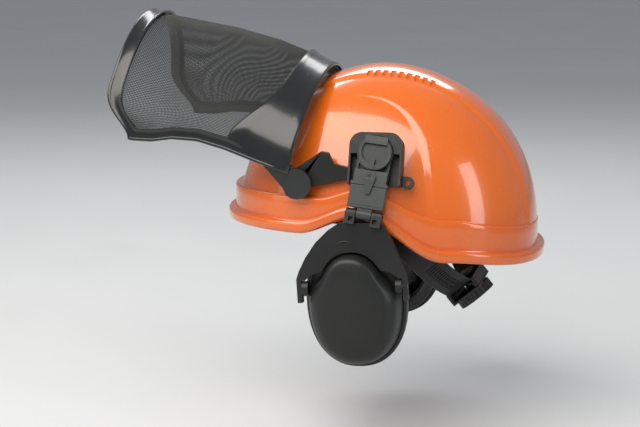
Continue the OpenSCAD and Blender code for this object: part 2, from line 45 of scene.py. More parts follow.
# ---------------------------------------------------------------- driving sizes, in millimetres
DOME_BACK, DOME_FRONT, DOME_SIDE, DOME_HEIGHT = 126, 124, 101, 146
DOME_POWER, SIDE_POWER, CROWN_POWER = 2.25, 2.46, 1.84
WALL = 2.6
RIDGE_RISE, RIDGE_HALF = 2, 31

PIVOT_X, PIVOT_Z, RAISED = 54, 60, 102
VISOR_TOP, VISOR_LEN, VISOR_SIDE_LEN = 8, 172, 170
VISOR_HALF_TOP, VISOR_HALF_LOW = 104, 96
FRAME_T, FRAME_W, SIDE_MARGIN = 2.4, 12.5, 6.5
# How far the visor's side edge stands forwards, and how deep its middle bulges, by distance from the brow
REAR_EDGE = ((8, -6), (37, -9), (64, -12.5), (87, -13.5), (108, -10), (124, -4), (140, -1), (165, 0))
DEPTH_TABLE = ((8, 87), (30, 93), (60, 98), (100, 100), (180, 97))

CUP_PLACE = (Vector((-5.5, -95, -32)), math.radians(-4))
CUP_HALF_W, CUP_HALF_H, CUP_POWER = 40.5, 54, 2.25

KNOB_PLACE = Vector((9, -88.6, 82))
ARM_LEAN, ARM_SWING = math.radians(-18), math.radians(7)

NAPE_START, NAPE_ANGLE = Vector((28, 0, 14)), math.radians(50)
NAPE_REACH, NAPE_SIDE, NAPE_W = 69, 75.2, 24


# ---------------------------------------------------------------- shape helpers
def ease(a, b, x):
    """Smooth step from 0 at a to 1 at b."""
    t = min(1.0, max(0.0, (x - a) / (b - a)))
    return t * t * (3 - 2 * t)


def squared(v, power):
    """Signed power, which turns a circle into a superellipse."""
    return math.copysign(abs(v) ** (2 / power), v)


def along(table, x):
    """The value at x on straight lines through the points of table."""
    keys = [k for k, _ in table]
    if x <= keys[0]:
        return table[0][1]
    if x >= keys[-1]:
        return table[-1][1]
    i = bisect.bisect_right(keys, x) - 1
    (x0, y0), (x1, y1) = table[i], table[i + 1]
    return y0 + (y1 - y0) * (x - x0) / (x1 - x0)


def oval(a, b, power, count):
    """Points round a superellipse."""
    turns = [2 * math.pi * i / count for i in range(count)]
    return [(a * squared(math.cos(u), power), b * squared(math.sin(u), power)) for u in turns]


def new_object(name, verts, faces, smooth_angle=35):
    """A mesh piece from points in millimetres, shaded smooth up to an angle."""
    mesh = bpy.data.meshes.new(name)
    mesh.from_pydata([Vector(v) * MM for v in verts], [], faces)
    mesh.validate()
    mesh.update()
    obj = bpy.data.objects.new(name, mesh)
    bpy.context.scene.collection.objects.link(obj)
    work = bmesh.new()
    work.from_mesh(mesh)
    bmesh.ops.recalc_face_normals(work, faces=work.faces)
    work.to_mesh(mesh)
    work.free()
    shade(obj, smooth_angle)
    return obj


def shade(obj, angle):
    """Smooth shading, apart from edges sharper than the angle."""
    mesh = obj.data
    mesh.polygons.foreach_set("use_smooth", [True] * len(mesh.polygons))
    mesh.set_sharp_from_angle(angle=math.radians(angle))
    mesh.update()


def grid_faces(rows, columns, close_rows, close_columns):
    """Quads between neighbouring points of a grid that is stored row by row."""
    faces = []
    for j in range(rows if close_rows else rows - 1):
        for i in range(columns if close_columns else columns - 1):
            a, b = j * columns, ((j + 1) % rows) * columns
            k = (i + 1) % columns
            faces.append((a + i, a + k, b + k, b + i))
    return faces


def loft(name, rings, smooth_angle=35):
    """A solid from closed rings of points, capped at both ends."""
    count = len(rings[0])
    last = (len(rings) - 1) * count
    faces = grid_faces(len(rings), count, False, True)
    faces.append(tuple(reversed(range(count))))
    faces.append(tuple(range(last, last + count)))
    return new_object(name, [p for ring in rings for p in ring], faces, smooth_angle)


def loop_loft(name, rings, smooth_angle=35):
    """A closed ring-shaped solid: the last ring of points joins the first."""
    faces = grid_faces(len(rings), len(rings[0]), True, True)
    return new_object(name, [p for ring in rings for p in ring], faces, smooth_angle)


def tube(name, path, radius, sides=8, closed=False, up=None):
    """A round bead or stitch along a list of points; up keeps its facets in line."""
    points = [Vector(p) for p in path]
    count = len(points)
    rings = []
    reference = Vector(up) if up else Vector((0.3, 0.2, 1))
    for i, p in enumerate(points):
        ahead = points[(i + 1) % count] if closed or i < count - 1 else p
        behind = points[i - 1] if closed or i > 0 else p
        direction = (ahead - behind).normalized()
        side = direction.cross(reference)
        if side.length < 1e-3:
            side = direction.cross(Vector((1, 0, 0)))
        side.normalize()
        other = direction.cross(side).normalized()
        reference = other if not up else reference
        size = radius(i / max(1, count - 1)) if callable(radius) else radius
        turns = [2 * math.pi * k / sides for k in range(sides)]
        rings.append([p + side * math.cos(t) * size + other * math.sin(t) * size for t in turns])
    if closed:
        return loop_loft(name, rings, 60)
    return loft(name, rings, 60)


def join(name, parts):
    """One piece made of several."""
    bpy.ops.object.select_all(action="DESELECT")
    for part in parts:
        part.select_set(True)
    bpy.context.view_layer.objects.active = parts[0]
    bpy.ops.object.join()
    parts[0].name = name
    parts[0].data.name = name
    return parts[0]


def mirrored(obj, name):
    """The right-hand copy of a left-hand piece."""
    copy = obj.copy()
    copy.data = obj.data.copy()
    copy.name = name
    copy.data.transform(Matrix.Scale(-1, 4, Vector((0, 1, 0))))
    copy.data.flip_normals()
    bpy.context.scene.collection.objects.link(copy)
    return copy


def placed(obj, origin, *turns):
    """Moves a piece from a part's own frame into the helmet's: turns are (axis, angle), the last first."""
    place = Matrix.Translation(Vector(origin) * MM)
    for axis, angle in turns:
        place = place @ Matrix.Rotation(angle, 4, axis)
    obj.data.transform(place)
    return obj


def in_cup(obj):
    """From the left ear cup's own frame into the helmet's."""
    return placed(obj, CUP_PLACE[0], ("Y", CUP_PLACE[1]))


def in_arm(obj):
    """From the left ear-muff arm's own frame into the helmet's."""
    return placed(obj, KNOB_PLACE, ("X", ARM_LEAN), ("Y", ARM_SWING))


def in_nape(obj):
    """From the nape band's plane into the helmet's frame."""
    return placed(obj, NAPE_START, ("Y", NAPE_ANGLE))


# ---------------------------------------------------------------- materials
class Paint:
    """A node material on object coordinates, which are the frame's own, in metres."""

    def __init__(self, name):
        self.material = bpy.data.materials.new(name)
        self.material.use_nodes = True
        self.tree = self.material.node_tree
        self.shader = self.tree.nodes["Principled BSDF"]
        self.place = self.tree.nodes.new("ShaderNodeTexCoord").outputs["Object"]
        self.height = None

    def node(self, kind, **values):
        made = self.tree.nodes.new(kind)
        for key, value in values.items():
            if hasattr(made, key):
                setattr(made, key, value)
            else:
                made.inputs[key.replace("_", " ")].default_value = value
        return made

    def link(self, a, b):
        self.tree.links.new(a, b)

    def noise(self, scale, detail=4.0, rough=0.55, stretch=(1, 1, 1)):
        mapping = self.node("ShaderNodeMapping")
        mapping.inputs["Scale"].default_value = stretch
        self.link(self.place, mapping.inputs["Vector"])
        made = self.node("ShaderNodeTexNoise", Scale=scale, Detail=detail, Roughness=rough)
        self.link(mapping.outputs["Vector"], made.inputs["Vector"])
        return made.outputs["Fac"]

    def cells(self, scale):
        made = self.node("ShaderNodeTexVoronoi", Scale=scale)
        self.link(self.place, made.inputs["Vector"])
        return made.outputs["Distance"]

    def wave(self, scale, direction, distortion):
        made = self.node("ShaderNodeTexWave", bands_direction=direction)
        made.inputs["Scale"].default_value = scale
        made.inputs["Distortion"].default_value = distortion
        self.link(self.place, made.inputs["Vector"])
        return made.outputs["Fac"]

    def maths(self, operation, a, b):
        made = self.node("ShaderNodeMath", operation=operation)
        for socket, value in ((made.inputs[0], a), (made.inputs[1], b)):
            if isinstance(value, (int, float)):
                socket.default_value = value
            else:
                self.link(value, socket)
        return made.outputs[0]

    def spread(self, value, low, high, to_low=0.0, to_high=1.0):
        made = self.node("ShaderNodeMapRange")
        made.inputs["From Min"].default_value = low
        made.inputs["From Max"].default_value = high
        made.inputs["To Min"].default_value = to_low
        made.inputs["To Max"].default_value = to_high
        self.link(value, made.inputs["Value"])
        return made.outputs["Result"]

    def mix(self, factor, a, b):
        made = self.node("ShaderNodeMix", data_type="RGBA")
        self.link(factor, made.inputs[0])
        for socket, value in ((made.inputs[6], a), (made.inputs[7], b)):
            if isinstance(value, tuple):
                socket.default_value = (*value, 1)
            else:
                self.link(value, socket)
        return made.outputs[2]

    def colour(self, value):
        self.link(value, self.shader.inputs["Base Color"])

    def rough(self, value):
        self.link(value, self.shader.inputs["Roughness"])

    def bump(self, value, depth, strength=1.0):
        made = self.node("ShaderNodeBump", Strength=strength, Distance=depth)
        self.link(value, made.inputs["Height"])
        if self.height is not None:
            self.link(self.height, made.inputs["Normal"])
        self.height = made.outputs["Normal"]
        self.link(self.height, self.shader.inputs["Normal"])

    def edge_highlight_mask(self):
        """0 on flat faces, rising to 1 on sharp outer edges; the mask for a painted edge highlight."""
        sharp = self.node("ShaderNodeNewGeometry").outputs["Pointiness"]
        return self.spread(sharp, 0.52, 0.62)

    def fixed(self, **values):
        for key, value in values.items():
            self.shader.inputs[key.replace("_", " ")].default_value = value


def moulded(name, base, light, rough, coat=0.0, grain=2600, depth=0.00003, edge_highlight_strength=0.35):
    """Injection-moulded plastic: fine texture, cloudy gloss, handling marks, and a painted highlight that
    makes sharp edges paler.
    """
    paint = Paint(name)
    clouds = paint.noise(38, 5)
    marks = paint.spread(paint.noise(240, 3, 0.7, (1, 1, 0.18)), 0.6, 0.72)
    tone = paint.mix(clouds, base, light)
    # Painted highlight: sharp outer edges are mixed towards a paler colour.
    rub_marks_and_edge_highlight = paint.maths("MULTIPLY", paint.edge_highlight_mask(), edge_highlight_strength)
    paint.colour(paint.mix(rub_marks_and_edge_highlight, tone, tuple(min(1, c * 2.2 + 0.05) for c in base)))
    gloss = paint.spread(clouds, 0.3, 0.7, rough - 0.05, rough + 0.07)
    paint.rough(paint.maths("ADD", gloss, paint.maths("MULTIPLY", marks, 0.08)))
    paint.bump(paint.noise(grain, 2, 0.6), depth)
    paint.bump(paint.noise(120, 2), 0.00004, 0.5)
    paint.fixed(Coat_Weight=coat, Coat_Roughness=0.12, Specular_IOR_Level=0.36)
    return paint.material


def shell_paint():
    """Glossy orange shell: slight orange peel, cloudy depth of colour, hairline scratches, dust, and painted
    shade that darkens it in blotches towards the brim.
    """
    paint = Paint("shell_orange")
    clouds = paint.noise(16, 4)
    body = paint.mix(clouds, (0.66, 0.116, 0.005), (0.74, 0.142, 0.007))
    specks = paint.spread(paint.cells(900), 0.0, 0.09, 1.0, 0.0)
    dusty = paint.mix(paint.maths("MULTIPLY", specks, 0.05), body, (0.80, 0.26, 0.09))
    # Painted shade: from 50 mm down to 20 mm the orange darkens towards the brim, broken into blotches by
    # noise.
    low = paint.node("ShaderNodeSeparateXYZ")
    paint.link(paint.place, low.inputs[0])
    painted_low_shade = paint.maths("MULTIPLY", paint.spread(low.outputs["Z"], 0.05, 0.02), paint.noise(60, 6))
    paint.colour(paint.mix(paint.maths("MULTIPLY", painted_low_shade, 0.35), dusty, (0.44, 0.058, 0.004)))
    hairs = paint.spread(paint.noise(420, 2, 0.5, (1, 0.03, 0.4)), 0.68, 0.74)
    gloss = paint.spread(paint.noise(55, 5), 0.3, 0.7, 0.21, 0.29)
    paint.rough(paint.maths("ADD", gloss, paint.maths("MULTIPLY", hairs, 0.06)))
    paint.bump(paint.noise(330, 2, 0.4), 0.00003, 0.5)
    paint.bump(hairs, 0.00001, 0.2)
    paint.fixed(Coat_Weight=0.9, Coat_Roughness=0.05, Subsurface_Weight=0.05, Subsurface_Scale=0.004)
    paint.shader.inputs["Subsurface Radius"].default_value = (1.0, 0.3, 0.08)
    return paint.material


def webbing_paint(name, base, light, scale):
    """Woven webbing: fine ribs with cross threads, and fuzz that softens the light."""
    paint = Paint(name)
    ribs = paint.wave(scale, "DIAGONAL", 0.6)
    threads = paint.wave(scale * 0.5, "Z", 0.4)
    weave = paint.maths("MULTIPLY", ribs, paint.maths("ADD", paint.maths("MULTIPLY", threads, 0.5), 0.5))
    paint.colour(paint.mix(paint.maths("MULTIPLY", weave, paint.noise(900, 3)), base, light))
    paint.rough(paint.spread(weave, 0, 1, 0.92, 0.74))
    paint.bump(weave, 0.0003, 0.9)
    paint.bump(paint.noise(3000, 2), 0.00005)
    paint.fixed(Sheen_Weight=0.35, Sheen_Roughness=0.5)
    return paint.material


def hide_paint(name, base, light, rough, pores=700, sheen=0.05):
    """Soft vinyl or leather: pebbled grain, creases and shine where it is handled."""
    paint = Paint(name)
    pebbles = paint.cells(pores)
    creases = paint.spread(paint.noise(46, 6, 0.7, (1, 1, 0.5)), 0.42, 0.5)
    paint.colour(paint.mix(paint.spread(pebbles, 0.1, 0.6), base, light))
    paint.rough(paint.spread(paint.noise(28, 4), 0.3, 0.7, rough - 0.08, rough + 0.1))
    paint.bump(pebbles, 0.00016, 0.7)
    paint.bump(creases, 0.0005, 0.35)
    paint.fixed(Sheen_Weight=sheen, Specular_IOR_Level=0.45)
    return paint.material


def foam_paint(name, base, light):
    """Open-cell foam: round pits of two sizes and a dusty surface."""
    paint = Paint(name)
    pits = paint.cells(520)
    fine = paint.cells(1500)
    cells = paint.maths("ADD", paint.maths("MULTIPLY", pits, 0.7), paint.maths("MULTIPLY", fine, 0.3))
    paint.colour(paint.mix(paint.spread(cells, 0.1, 0.55), base, light))
    paint.rough(paint.spread(cells, 0, 0.6, 0.98, 0.86))
    paint.bump(cells, 0.0012, 0.9)
    paint.fixed(Sheen_Weight=0.2, Sheen_Roughness=0.6)
    return paint.material


def metal_paint(name, base, light, rough):
    """Turned steel: rings left by the tool, and smudges."""
    paint = Paint(name)
    rings = paint.wave(1200, "Y", 0.3)
    smudges = paint.noise(60, 5)
    paint.colour(paint.mix(paint.maths("MULTIPLY", rings, smudges), base, light))
    paint.rough(paint.spread(smudges, 0.3, 0.7, rough - 0.06, rough + 0.12))
    paint.bump(rings, 0.00003, 0.6)
    paint.fixed(Metallic=1.0)
    return paint.material


def wire_paint():
    """Black coated wire: uneven coating with bare grey spots where the wires rub."""
    paint = Paint("visor_wire")
    patches = paint.noise(70, 5)
    rub_marks_and_edge_highlight = paint.spread(paint.noise(900, 3), 0.6, 0.72)
    tone = paint.mix(patches, (0.010, 0.011, 0.011), (0.022, 0.024, 0.024))
    paint.colour(paint.mix(paint.maths("MULTIPLY", rub_marks_and_edge_highlight, 0.5), tone, (0.075, 0.08, 0.08)))
    paint.rough(paint.spread(patches, 0.3, 0.7, 0.36, 0.55))
    paint.bump(paint.noise(2400, 2), 0.00003)
    paint.fixed(Specular_IOR_Level=0.5)
    return paint.material


SHELL = shell_paint()
BLACK = moulded("black_plastic", (0.0085, 0.009, 0.009), (0.0135, 0.014, 0.014), 0.38)
CUP_BLACK = moulded("cup_plastic", (0.010, 0.0115, 0.0105), (0.015, 0.0165, 0.0155), 0.36, 0.0, 1900, 0.00005)
YOKE_BLACK = moulded("yoke_black", (0.007, 0.0075, 0.0078), (0.012, 0.0125, 0.0128), 0.40)
GREY = moulded("arm_grey", (0.030, 0.034, 0.034), (0.044, 0.049, 0.049), 0.40, 0.0, 2200, 0.00004, 0.3)
KNOB_GREY = moulded("knob_grey", (0.022, 0.024, 0.025), (0.034, 0.037, 0.038), 0.33, 0.15)
GLOSS = moulded("visor_gloss", (0.0095, 0.0105, 0.011), (0.014, 0.015, 0.0155), 0.2, 0.5, 1500, 0.00002, 0.3)
HARNESS = moulded("harness_plastic", (0.010, 0.010, 0.0105), (0.016, 0.016, 0.0165), 0.48)
KNURLED = moulded("size_knob_plastic", (0.014, 0.0145, 0.015), (0.021, 0.0215, 0.022), 0.42)
RUBBER = moulded("seal_rubber", (0.009, 0.009, 0.009), (0.013, 0.013, 0.013), 0.72, 0.0, 3400, 0.00006, 0.1)
WEBBING = webbing_paint("webbing", (0.010, 0.010, 0.011), (0.055, 0.056, 0.060), 420)
THREAD = webbing_paint("thread", (0.10, 0.10, 0.10), (0.30, 0.30, 0.29), 2600)
SKIN = hide_paint("seal_skin", (0.007, 0.007, 0.0075), (0.016, 0.016, 0.017), 0.42)
BROW_LEATHER = hide_paint("sweatband_leather", (0.045, 0.028, 0.018), (0.085, 0.055, 0.036), 0.62, 900, 0.2)
FOAM = foam_paint("pad_foam", (0.020, 0.020, 0.022), (0.060, 0.060, 0.064))
STEEL = metal_paint("pin_steel", (0.42, 0.43, 0.45), (0.66, 0.67, 0.69), 0.30)
WIRE = wire_paint()


def finish_piece(obj, body, slot, material, *stands_for):
    """Gives a piece its material, its body and the CAD nodes that it stands for; slot is not used."""
    obj.data.materials.clear()
    obj.data.materials.append(material)
    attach(obj, body)
    if stands_for:
        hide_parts(*stands_for)
    return obj


def dress(node, material, bevel):
    """A CAD node that stays: its material, and small rounded edges that catch the light."""
    obj = nodes[node]
    obj.data.materials.clear()
    obj.data.materials.append(material)
    bpy.ops.object.select_all(action="DESELECT")
    obj.select_set(True)
    bpy.context.view_layer.objects.active = obj
    if obj.data.has_custom_normals:
        bpy.ops.mesh.customdata_custom_splitnormals_clear()
    obj.data.polygons.foreach_set("use_smooth", [True] * len(obj.data.polygons))
    weld = obj.modifiers.new("weld", "WELD")
    weld.merge_threshold = 0.00001
    edge = obj.modifiers.new("bevel", "BEVEL")
    edge.width = bevel * MM
    edge.segments = 2
    edge.limit_method = "ANGLE"
    edge.angle_limit = math.radians(32)
    normals = obj.modifiers.new("normals", "WEIGHTED_NORMAL")
    normals.keep_sharp = True
    return obj


# ---------------------------------------------------------------- shell
def brim_z(x):
    """Height of the brim, which rises over the ears."""
    if x > -6:
        return 34.5 * (1 - ease(-4, 62, x)) - 8 * ease(60, 130, x)
    return 20 + 14.5 * ease(-52, -6, x)


def shoulder_z(x):
    """Height of the band's upper edge."""
    if x > -6:
        return 33 + 23 * (1 - ease(-4, 62, x)) - 12 * ease(60, 130, x)
    return 48.5 + 7.5 * ease(-36, -6, x)


def dome_plan(u, grow):
    """The dome's outline at its foot."""
    half = DOME_BACK if math.cos(u) > 0 else DOME_FRONT
    return ((half + grow) * squared(math.cos(u), DOME_POWER),
            (DOME_SIDE + grow) * squared(math.sin(u), DOME_POWER))


def dome_taper(z):
    """The dome's width at a height, as a share of its width at the foot."""
    return max(0.0, 1 - (max(0.0, z) / DOME_HEIGHT) ** SIDE_POWER) ** (1 / CROWN_POWER)


def ridge(x, y):
    """The raised strip over the crown."""
    return RIDGE_RISE * (1 - ease(RIDGE_HALF - 2.4, RIDGE_HALF, abs(y))) * ease(-118, -90, x)


# The side panel's edge: an arch from the brim behind the ear up and forwards over the side
PANEL_X, PANEL_HALF, PANEL_TOP, PANEL_POWER, PANEL_STEP = -40, 92, 128, 3.6, 1.9
REAR_STEP = 1.5
SHELL_COLUMNS, DOME_ROWS, INNER_ROWS = 264, 84, 30


def relief(x, y, z):
    """How far the outer face stands out: sunk side panels, and the ridge running down the back."""
    reach = (abs(x - PANEL_X) / PANEL_HALF) ** PANEL_POWER + (z / PANEL_TOP) ** PANEL_POWER
    sunk = PANEL_STEP * (1 - ease(0.93, 1.01, reach)) * ease(-58, 0, x) * ease(20, 34, abs(y))
    rear = REAR_STEP * (1 - ease(RIDGE_HALF - 2, RIDGE_HALF, abs(y))) * ease(40, 90, x)
    return rear - sunk


def dome_point(u, z, grow, detail):
    """A point of the dome, with the relief of its outer face."""
    ratio = dome_taper(z * DOME_HEIGHT / (DOME_HEIGHT + grow))
    x, y = (c * ratio for c in dome_plan(u, grow))
    if detail:
        x, y = (c * ratio for c in dome_plan(u, grow + relief(x, y, z)))
    return x, y, z + ridge(x, y) * z / DOME_HEIGHT


def dome_ring(part, grow, angles, detail):
    """part runs from 0 at the crown to 1 at the band's shoulder."""
    ring = []
    for u in angles:
        top = DOME_HEIGHT + grow
        start = math.asin((shoulder_z(dome_plan(u, 0)[0]) / top) ** (SIDE_POWER / 2))
        at = math.radians(89.3) * (1 - part) + start * part
        ring.append(dome_point(u, top * math.sin(at) ** (2 / SIDE_POWER), grow, detail))
    return ring


def band_ring(from_brim, up, grow, angles):
    """A ring of the band: up from the brim or from the shoulder, grow outwards from the dome."""
    ring = []
    for u in angles:
        x = dome_plan(u, 0)[0]
        ring.append((*dome_plan(u, grow), (brim_z(x) if from_brim else shoulder_z(x)) + up))
    return ring


# Height and outward step of the band's and the rain gutter's section, from the shoulder to the brim's inside
SHOULDER_SECTION = (
    (0.5, 0.0), (0.15, 0.12), (0.0, 0.5), (-0.15, 1.0), (-0.5, 1.35), (-1.2, 1.55), (-7, 1.55))
BRIM_SECTION = (
    (13, 1.55), (10.4, 1.6), (9.0, 1.8), (8.2, 2.5), (7.9, 3.6), (8.1, 4.6), (8.5, 5.4), (8.9, 5.9),
    (8.95, 6.4), (8.4, 6.9), (7.4, 7.4), (5.2, 7.3), (2.9, 7.2), (1.2, 6.9), (0.4, 6.4), (0.0, 5.5),
    (0.0, 3.2), (0.0, 0.6), (0.25, -0.5), (0.9, -1.0))


def shell_skin():
    angles = [2 * math.pi * i / SHELL_COLUMNS for i in range(SHELL_COLUMNS)]
    rings = [dome_ring(j / DOME_ROWS, 0, angles, True) for j in range(DOME_ROWS + 1)]
    rings += [band_ring(False, up, out, angles) for up, out in SHOULDER_SECTION]
    rings += [band_ring(True, up, out, angles) for up, out in BRIM_SECTION]
    rings += [dome_ring(j / INNER_ROWS, -WALL, angles, False) for j in range(INNER_ROWS, -1, -1)]
    return loft("shell_skin", rings, 50)


def dome_top(x, y):
    """Height of the dome's outer face above a point of its plan."""
    part = ((abs(x) / DOME_BACK) ** DOME_POWER + (abs(y) / DOME_SIDE) ** DOME_POWER) ** (1 / DOME_POWER)
    return DOME_HEIGHT * (1 - part**CROWN_POWER) ** (1 / SIDE_POWER) + ridge(x, y)


# The row of vents: how many, the first one's place, their pitch, their place across and their depth
VENTS, VENT_FIRST, VENT_PITCH, VENT_ACROSS, VENT_DEPTH = 9, -9, 6.55, 27.4, 1.9


def vent_cutter(k, side):
    """One rounded pocket of the row along the ridge's edge, square to the dome there."""
    x, y = VENT_FIRST + VENT_PITCH * k, VENT_ACROSS * side
    along_x = Vector((2, 0, dome_top(x + 1, y) - dome_top(x - 1, y))).normalized()
    along_y = Vector((0, 6, dome_top(x, y + 3) - dome_top(x, y - 3))).normalized()
    upward = along_x.cross(along_y).normalized()
    corners = []
    for cx, cy in ((1, 1), (-1, 1), (-1, -1), (1, -1)):
        for step in range(5):
            turn = math.atan2(cy, cx) + math.radians(22.5 * step - 45)
            corners.append((cx * 1.2 + 0.9 * math.cos(turn), cy * 3.4 + 0.9 * math.sin(turn)))
    centre = Vector((x, y, dome_top(x, y)))
    rings = [[centre + along_x * px + along_y * py + upward * h for px, py in corners]
             for h in (-VENT_DEPTH, 6)]
    return loft(f"vent_{k}", rings)


def build_shell():
    skin = shell_skin()
    cutters = join("vents", [vent_cutter(k, s) for k in range(VENTS) for _, s in SIDES])
    skin.data.materials.append(SHELL)
    cut = skin.modifiers.new("vents", "BOOLEAN")
    cut.operation = "DIFFERENCE"
    cut.solver = "EXACT"
    cut.object = cutters
    bpy.context.view_layer.objects.active = skin
    bpy.ops.object.modifier_apply(modifier="vents")
    bpy.data.objects.remove(cutters)
    shade(skin, 40)
    finish_piece(skin, "helmet", "shell_orange", SHELL, "shell")


# ---------------------------------------------------------------- visor
# The window's upper edge, how far the mesh reaches under the frame, and how round the window's corners are
WINDOW_TOP, MESH_TUCK, CORNER_PASSES = 31, 3.5, 6
ACROSS, DOWN = 112, 56


def visor_low(b):
    """The far edge's distance from the brow, shorter at the corners."""
    side = abs(math.sin(b))
    corner = 26 * ease(math.radians(62), math.radians(90), abs(b)) ** 2.4
    return VISOR_LEN - (VISOR_LEN - VISOR_SIDE_LEN) * side**2.5 - corner


def window_top(b):
    """The window's upper edge, which drops at the sides."""
    return WINDOW_TOP + 34 * abs(math.sin(b)) ** 6


def visor_half(d):
    """Half the visor's width at a distance from the brow."""
    return VISOR_HALF_TOP + (VISOR_HALF_LOW - VISOR_HALF_TOP) * d / VISOR_LEN


def visor_point(b, d, t):
    """A point of the raised visor: b turns round the face, d runs from the brow, t inwards."""
    x = along(REAR_EDGE, d) * abs(math.sin(b)) ** 8 - (along(DEPTH_TABLE, d) - t) * math.cos(b)
    y, z = (visor_half(d) - t) * math.sin(b), -d
    turn = math.radians(RAISED)
    return Vector((x * math.cos(turn) + z * math.sin(turn) - PIVOT_X, y,
                   -x * math.sin(turn) + z * math.cos(turn) + PIVOT_Z))


def spread(i, n, reach):
    """Angles from -reach to reach, closer together towards both ends."""
    s = 2 * i / n - 1
    return reach * math.copysign(1 - (1 - abs(s)) ** 1.5, s)


def rounded(loop, passes):
    """Softens the corners of a loop of (angle, distance) pairs."""
    for _ in range(passes):
        loop = [tuple((loop[i - 1][k] + 2 * loop[i][k] + loop[(i + 1) % len(loop)][k]) / 4 for k in (0, 1))
                for i in range(len(loop))]
    return loop


def edge_loop(reach, top, low):
    """Across the top, along one side, back along the far edge and up the other side."""
    turns = [spread(i, ACROSS, reach) for i in range(ACROSS)]
    height = low(reach) - top(reach)
    loop = [(b, top(b)) for b in turns]
    loop += [(reach, top(reach) + height * i / DOWN) for i in range(DOWN)]
    loop += [(-b, low(-b)) for b in turns]
    loop += [(-reach, low(reach) - height * i / DOWN) for i in range(DOWN)]
    return loop


def frame_outer():
    """The frame's outer edge."""
    return rounded(edge_loop(math.pi / 2, lambda b: VISOR_TOP, visor_low), 1)


def window_edge(grow):
    """The window's edge, moved outwards by grow."""
    reach = math.pi / 2 - math.radians(SIDE_MARGIN - grow / 1.8)
    loop = edge_loop(reach, lambda b: window_top(b) - grow, lambda b: visor_low(b) - FRAME_W + grow)
    return rounded(loop, CORNER_PASSES)


def between(outer, inner, share):
    """The loop that lies a share of the way from the outer loop to the inner one."""
    return [(p[0] + (q[0] - p[0]) * share, p[1] + (q[1] - p[1]) * share) for p, q in zip(outer, inner)]


def visor_strip(name, section, outer, inner):
    """A ring-shaped strip: section lists (share of the way in, depth under the face)."""
    loops = [[visor_point(b, d, t) for b, d in between(outer, inner, share)] for share, t in section]
    return loop_loft(name, [[loop[i] for loop in loops] for i in range(len(outer))], 50)


# The frame's section: a rolled outer edge, a shallow channel and a raised lip along the mesh
FRAME_SECTION = (
    (0.0, 0.9), (0.015, 0.35), (0.06, 0.0), (0.14, 0.0), (0.20, 0.25), (0.26, 0.55), (0.5, 0.6), (0.72, 0.55),
    (0.80, 0.35), (0.86, 0.0), (0.95, 0.0), (0.985, 0.3), (1.0, 0.8), (1.0, 1.7), (0.985, 2.2), (0.94, 2.4),
    (0.5, 2.4), (0.05, 2.4), (0.012, 2.1), (0.0, 1.6))


def build_visor_frame():
    finish_piece(visor_strip("visor_frame_shell", FRAME_SECTION, frame_outer(), window_edge(0)),
                 "visor", "visor_gloss", GLOSS, "visor_frame")
    bead = ((0.0, 3.5), (0.12, 3.1), (0.35, 2.95), (0.65, 2.95), (0.88, 3.1), (1.0, 3.5), (1.0, 4.4),
            (0.85, 4.75), (0.5, 4.85), (0.15, 4.75), (0.0, 4.4))
    finish_piece(visor_strip("visor_bead_strip", bead, window_edge(4.5), window_edge(2)),
                 "visor", "black_plastic", BLACK, "visor_bead")
    lip = tube("visor_lip", [visor_point(b, d, 0.15) for b, d in window_edge(0.9)], 0.55, 8, True)
    finish_piece(lip, "visor", "visor_gloss", KNOB_GREY)


# The wires' pitch, radius and depth under the frame's face, and the radius that the hoops are counted on
WIRE_PITCH, WIRE_R, WIRE_DEPTH, HOOP_RADIUS = 1.5, 0.3, FRAME_T + 0.9, 97
MESH_REACH = math.pi / 2 - math.radians(SIDE_MARGIN - 2)


def wire_bundle(name, lines, lift):
    """Many thin three-sided wires; lift moves each point in or out of the sheet where wires cross."""
    verts, faces = [], []
    for n, line in enumerate(lines):
        base = len(verts)
        points = [visor_point(b, d, WIRE_DEPTH + lift(n, i)) for i, (b, d) in enumerate(line)]
        for i, p in enumerate(points):
            ahead = points[min(i + 1, len(points) - 1)]
            behind = points[max(i - 1, 0)]
            direction = (ahead - behind).normalized()
            outward = Vector((p.x + PIVOT_X + 60, p.y, p.z - PIVOT_Z - 20)).normalized()
            side = direction.cross(outward).normalized()
            other = direction.cross(side)
            for k in range(3):
                t = 2 * math.pi * k / 3
                verts.append(p + (side * math.cos(t) + other * math.sin(t)) * WIRE_R)
        for i in range(len(points) - 1):
            for k in range(3):
                a, b = base + 3 * i, base + 3 * i + 3
                m = (k + 1) % 3
                faces.append((a + k, a + m, b + m, b + k))
    return new_object(name, verts, faces, 180)


def mesh_span(b):
    """Where the mesh starts and ends at angle b, just under the frame."""
    return window_top(b) - MESH_TUCK, visor_low(b) - FRAME_W + MESH_TUCK


def build_visor_mesh():
    """Woven wires: waved hoops across the face, and straight bars from the brow to the far edge."""
    columns = int(2 * MESH_REACH * HOOP_RADIUS / WIRE_PITCH)
    rows = int((VISOR_LEN - WINDOW_TOP - FRAME_W + 2 * MESH_TUCK) / WIRE_PITCH)
    angles = [-MESH_REACH + 2 * MESH_REACH * i / (columns - 1) for i in range(columns)]
    spans = [mesh_span(b) for b in angles]
    hoops = [[(b, lo + (hi - lo) * j / (rows - 1)) for b, (lo, hi) in zip(angles, spans)]
             for j in range(rows)]
    bars = [[hoops[j][i] for j in range(0, rows, 2)] for i in range(columns)]
    crossing = WIRE_R * 0.75

    def weave(n, i):
        return crossing if (n + i) % 2 else -crossing

    hoop_wires = wire_bundle("hoop_wires", hoops, weave)
    bar_wires = wire_bundle("bar_wires", bars, lambda n, i: 0.0)
    wires = join("visor_mesh_wires", [hoop_wires, bar_wires])
    finish_piece(wires, "visor", "visor_mesh", WIRE, "visor_mesh")


